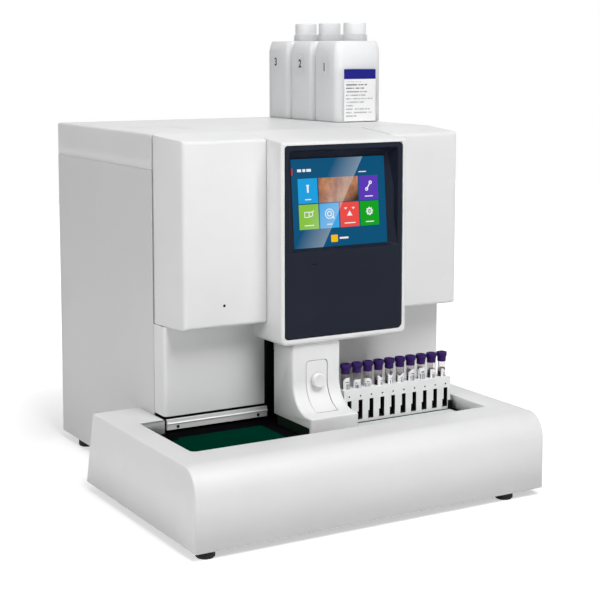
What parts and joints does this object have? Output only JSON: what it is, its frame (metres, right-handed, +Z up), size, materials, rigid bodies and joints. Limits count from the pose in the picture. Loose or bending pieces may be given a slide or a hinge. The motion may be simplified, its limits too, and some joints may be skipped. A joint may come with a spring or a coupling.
{
  "type": "glycated hemoglobin analyzer",
  "caption": "Bench-top blood analyzer with hinged front doors, tilted screen, sample rack tray, STAT drawer and reagent bottles on top.",
  "frame": {"origin": "on the bench under the middle of the unit, level with the soles of its feet", "axes": "+Z up, +Y towards the back, +X to the right for someone facing the front"},
  "size_m": [0.602, 0.7, 0.7376],
  "materials": {
    "casing_white": "satin moulded white",
    "panel_white": "fine powder coat",
    "frame_steel": "zinc plated",
    "bright_steel": "polished",
    "aluminium": "satin anodised",
    "black_plastic": "matte",
    "dark_panel": "satin",
    "screen_glass": "lit display behind glass",
    "green_mat": "matte sheet",
    "foot_rubber": "matte",
    "rack_plastic": "satin moulded",
    "tube_glass": "clear",
    "stopper_rubber": "matte purple",
    "label_paper": "printed film label",
    "bottle_plastic": "milky blow moulded",
    "cap_plastic": "ribbed white",
    "board_green": "lacquered"
  },
  "bodies": {
    "root": {"base_cover": "casing_white", "console_housing": "casing_white", "column_cover": "casing_white", "left_side_panel": "panel_white", "right_side_panel": "panel_white", "top_cover": "panel_white", "rear_panel": "panel_white", "lower_front_panel": "panel_white", "chassis_base": "frame_steel", "front_frame": "frame_steel", "left_hinge_pin": "frame_steel", "right_hinge_pin": "frame_steel", "power_supply": "frame_steel", "analytic_column": "bright_steel", "lane_rail": "aluminium", "needle_rail": "aluminium", "column_oven": "aluminium", "injection_valve": "aluminium", "pump_body": "aluminium", "sample_deck": "black_plastic", "column_base": "black_plastic", "detector": "black_plastic", "power_inlet": "black_plastic", "console_panel": "dark_panel", "touch_screen": "screen_glass", "deck_mat": "green_mat", "foot_front_left": "foot_rubber", "foot_front_right": "foot_rubber", "foot_rear_left": "foot_rubber", "foot_rear_right": "foot_rubber", "control_board": "board_green"},
    "left_door": {"left_door": "casing_white"},
    "right_door": {"right_door": "casing_white"},
    "stat_drawer": {"stat_drawer": "casing_white", "stat_tube_holder": "black_plastic", "stat_knob": "casing_white"},
    "feed_pusher": {"feed_pusher": "black_plastic"},
    "sample_rack": {"sample_rack": "rack_plastic", "sample_tube_1": "tube_glass", "sample_tube_2": "tube_glass", "sample_tube_3": "tube_glass", "sample_tube_4": "tube_glass", "sample_tube_5": "tube_glass", "sample_tube_6": "tube_glass", "sample_tube_7": "tube_glass", "sample_tube_8": "tube_glass", "sample_tube_9": "tube_glass", "sample_tube_10": "tube_glass"},
    "needle_carriage": {"needle_carriage": "black_plastic", "sampling_needle": "bright_steel"},
    "valve_rotor": {"valve_rotor": "black_plastic"},
    "pump_plunger": {"pump_plunger": "bright_steel"},
    "fan_rotor": {"fan_rotor": "black_plastic"},
    "power_switch": {"power_switch": "black_plastic"},
    "bottle_1": {"reagent_bottle_1": "bottle_plastic"},
    "cap_1": {"bottle_cap_1": "cap_plastic"},
    "bottle_2": {"reagent_bottle_2": "bottle_plastic"},
    "cap_2": {"bottle_cap_2": "cap_plastic"},
    "bottle_3": {"reagent_bottle_3": "bottle_plastic"},
    "cap_3": {"bottle_cap_3": "cap_plastic"}
  },
  "joints": [
    {"name": "left_door_hinge", "type": "hinge", "parent": "root", "child": "left_door", "pos_m": [-0.214, -0.0511, 0.41], "axis": [0, 0, -1], "range_deg": [0, 100]},
    {"name": "right_door_hinge", "type": "hinge", "parent": "root", "child": "right_door", "pos_m": [0.2845, -0.0511, 0.41], "axis": [0, 0, 1], "range_deg": [0, 100]},
    {"name": "stat_drawer_slide", "type": "slide", "parent": "root", "child": "stat_drawer", "axis": [0, -1, 0], "range_m": [0, 0.06]},
    {"name": "rack_feed_slide", "type": "slide", "parent": "root", "child": "feed_pusher", "axis": [0, 1, 0], "range_m": [0, 0.058]},
    {"name": "rack_lift", "type": "slide", "parent": "feed_pusher", "child": "sample_rack", "axis": [0, 0, 1], "range_m": [0, 0.036]},
    {"name": "needle_slide", "type": "slide", "parent": "root", "child": "needle_carriage", "axis": [0, 0, -1], "range_m": [0, 0.075]},
    {"name": "valve_turn", "type": "hinge", "parent": "root", "child": "valve_rotor", "pos_m": [-0.137, -0.09, 0.338], "axis": [0, 1, 0], "range_deg": [0, 60]},
    {"name": "pump_stroke", "type": "slide", "parent": "root", "child": "pump_plunger", "axis": [0, 0, -1], "range_m": [0, 0.02]},
    {"name": "fan_spin", "type": "hinge", "parent": "root", "child": "fan_rotor", "pos_m": [0.139, 0.33, 0.36], "axis": [0, 1, 0], "continuous": true},
    {"name": "power_switch_rock", "type": "hinge", "parent": "root", "child": "power_switch", "pos_m": [-0.0765, 0.3405, 0.1235], "axis": [1, 0, 0], "range_deg": [0, 10]},
    {"name": "bottle_1_lift", "type": "slide", "parent": "root", "child": "bottle_1", "axis": [0, 0, 1], "range_m": [0, 0.15]},
    {"name": "cap_1_turn", "type": "hinge", "parent": "bottle_1", "child": "cap_1", "pos_m": [0.2565, 0.132, 0.728], "axis": [0, 0, 1], "range_deg": [0, 540]},
    {"name": "bottle_2_lift", "type": "slide", "parent": "root", "child": "bottle_2", "axis": [0, 0, 1], "range_m": [0, 0.15]},
    {"name": "cap_2_turn", "type": "hinge", "parent": "bottle_2", "child": "cap_2", "pos_m": [0.2565, 0.217, 0.728], "axis": [0, 0, 1], "range_deg": [0, 540]},
    {"name": "bottle_3_lift", "type": "slide", "parent": "root", "child": "bottle_3", "axis": [0, 0, 1], "range_m": [0, 0.15]},
    {"name": "cap_3_turn", "type": "hinge", "parent": "bottle_3", "child": "cap_3", "pos_m": [0.2565, 0.302, 0.728], "axis": [0, 0, 1], "range_deg": [0, 540]}
  ]
}
